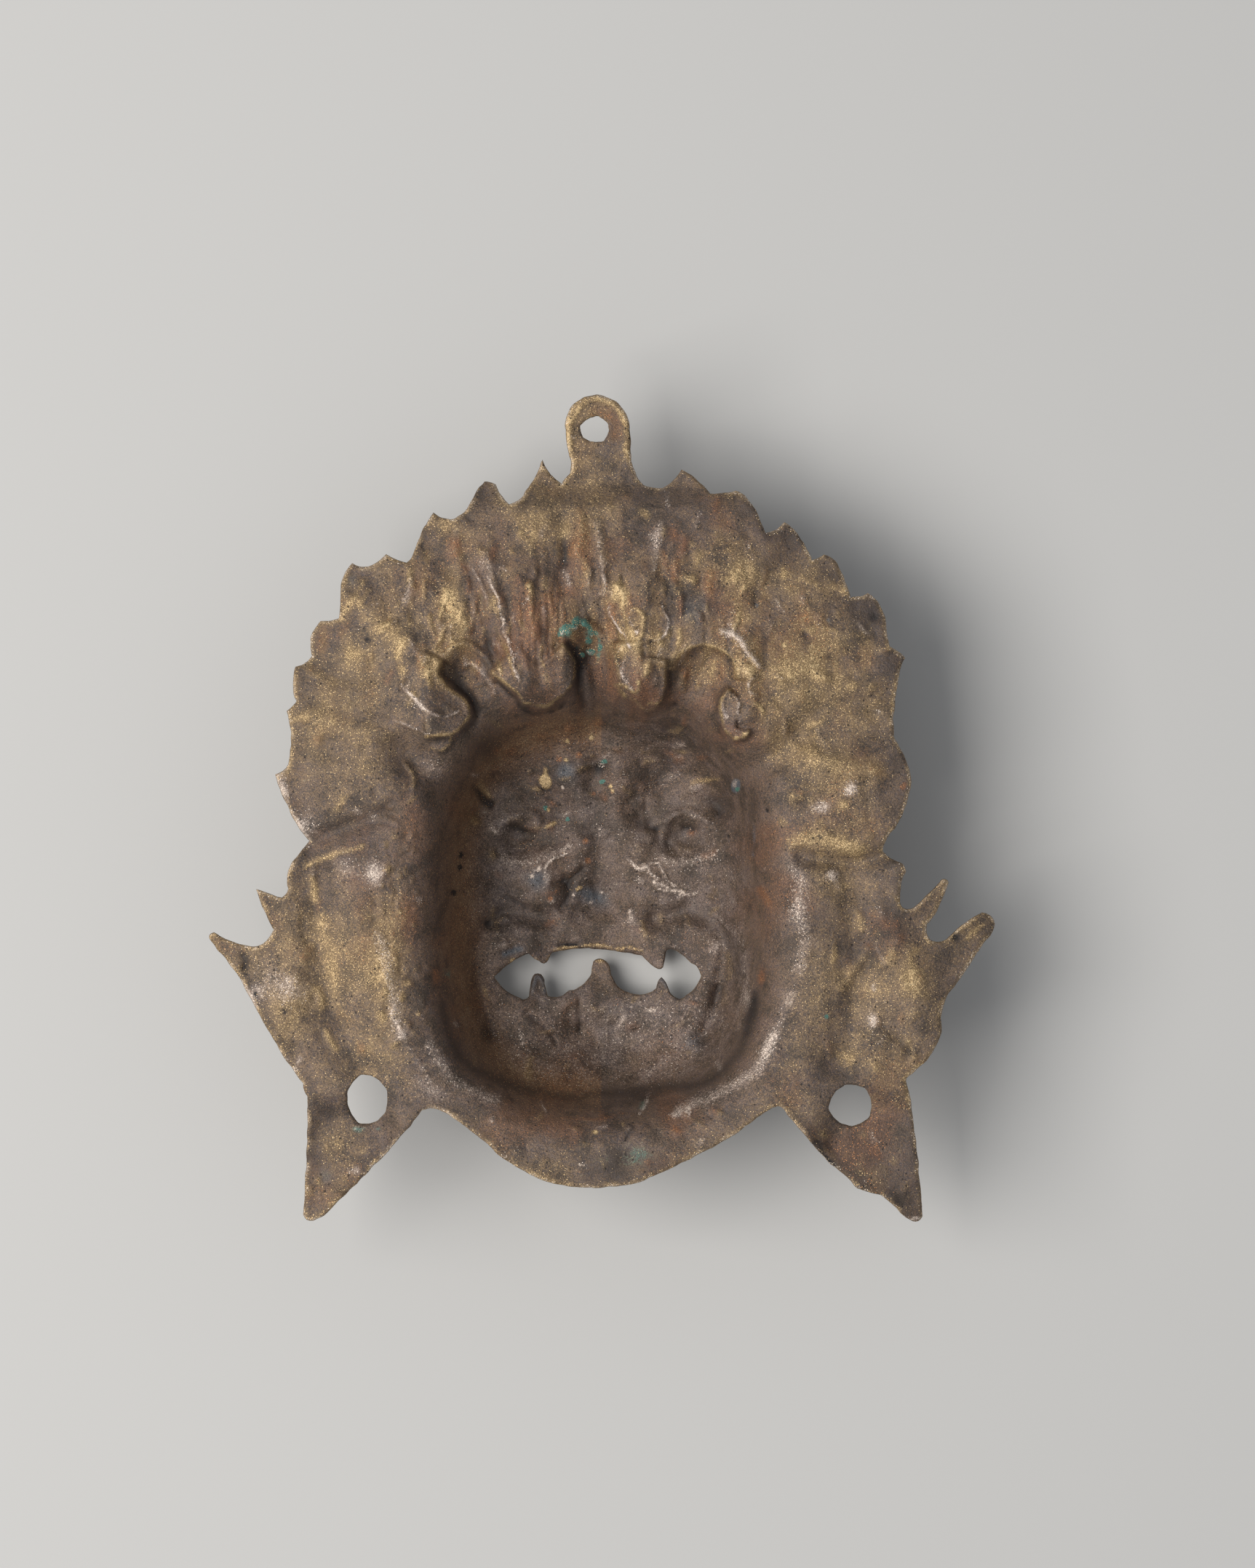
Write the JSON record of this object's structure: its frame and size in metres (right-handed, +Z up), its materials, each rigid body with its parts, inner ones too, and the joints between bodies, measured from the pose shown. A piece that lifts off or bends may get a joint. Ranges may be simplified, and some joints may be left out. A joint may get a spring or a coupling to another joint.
{
  "type": "mahakala mask",
  "caption": "Small cast copper-alloy mask of a wrathful fanged guardian, hollow behind, with a hanging lug on its crown and pierced ear lobes.",
  "frame": {"origin": "centre of the overall box in plan, on the ground the mask lies on with its face down", "axes": "+Z up out of the hollow back, +Y towards the hanging lug on the crown, +X to the right seen from the back"},
  "size_m": [0.1504, 0.159, 0.0375],
  "materials": {
    "copper_alloy": "cast copper alloy, as-cast grain, brown patina with golden wear and a little verdigris"
  },
  "bodies": {
    "root": {"cast_mask": "copper_alloy"}
  },
  "joints": []
}
